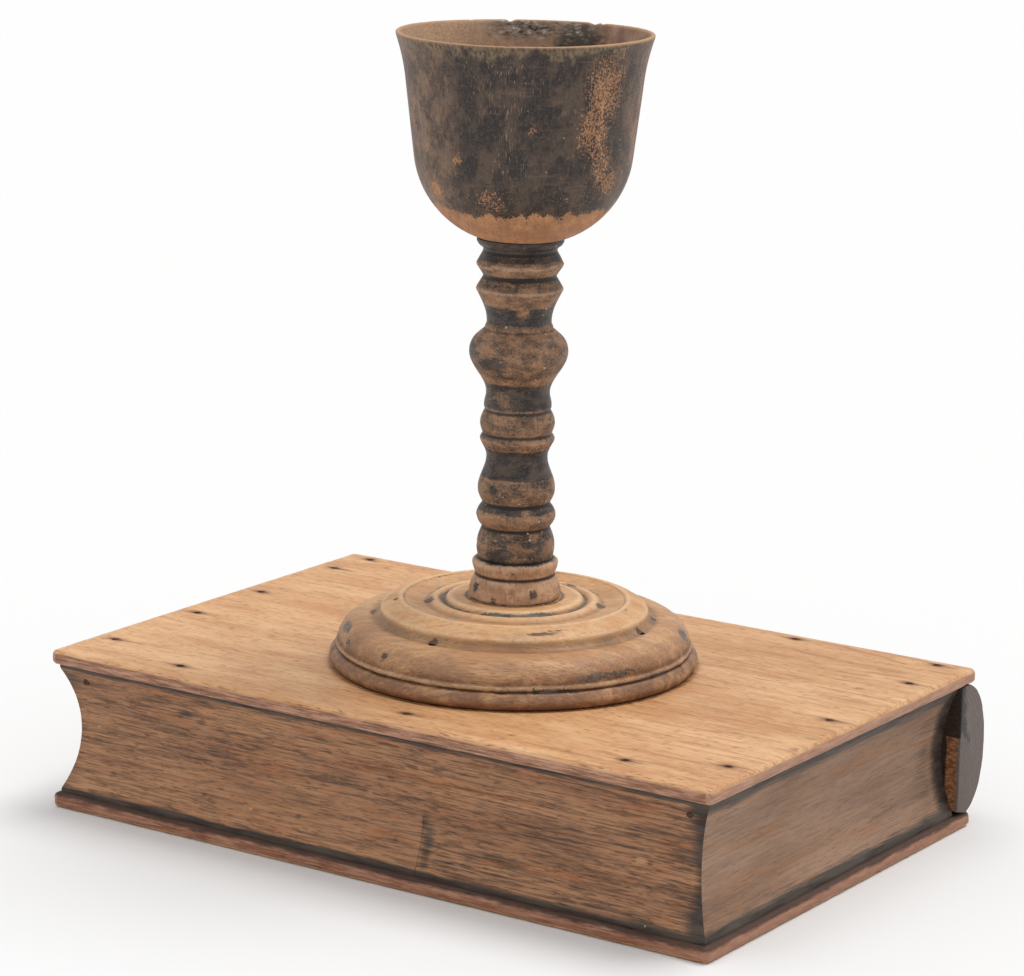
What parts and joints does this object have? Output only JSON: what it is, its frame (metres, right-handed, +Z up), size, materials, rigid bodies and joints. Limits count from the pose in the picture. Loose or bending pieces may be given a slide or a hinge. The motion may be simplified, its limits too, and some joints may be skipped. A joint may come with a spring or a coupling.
{
  "type": "wooden communion chalice on book plinth",
  "caption": "Turned wooden chalice with an open bowl, beaded stem and round foot, fixed on a hollow box plinth shaped like a closed book.",
  "frame": {"origin": "centre of the underside of the bottom cover board", "axes": "+Z up along the chalice's axis, +X along the book's spine, +Y from the fore edge towards the spine"},
  "size_m": [0.4, 0.2753, 0.4088],
  "materials": {
    "painted_wood": "turned wood with worn blue-black paint",
    "foot_wood": "bare turned wood, waxed, with grey paint left in its grooves",
    "cover_wood": "bare honey-coloured softwood board, worn smooth",
    "page_wood": "darkened wood with grime and old paint",
    "spine_wood": "darkened wood, end grain rubbed pale",
    "inner_wood": "raw sawn softwood",
    "iron": "rusted black iron"
  },
  "bodies": {
    "root": {"bowl": "painted_wood", "stem": "painted_wood", "stem_wedge": "inner_wood", "foot": "foot_wood", "foot_nails": "iron", "top_cover": "cover_wood", "bottom_cover": "cover_wood", "fore_edge_board": "page_wood", "fore_edge_strip": "page_wood", "head_edge_board": "page_wood", "tail_edge_board": "page_wood", "spine": "spine_wood", "tenon_bearer": "inner_wood", "glue_blocks": "inner_wood", "top_cover_nails": "iron", "bottom_cover_nails": "iron", "corner_nails": "iron", "strip_brads": "iron"}
  },
  "joints": []
}
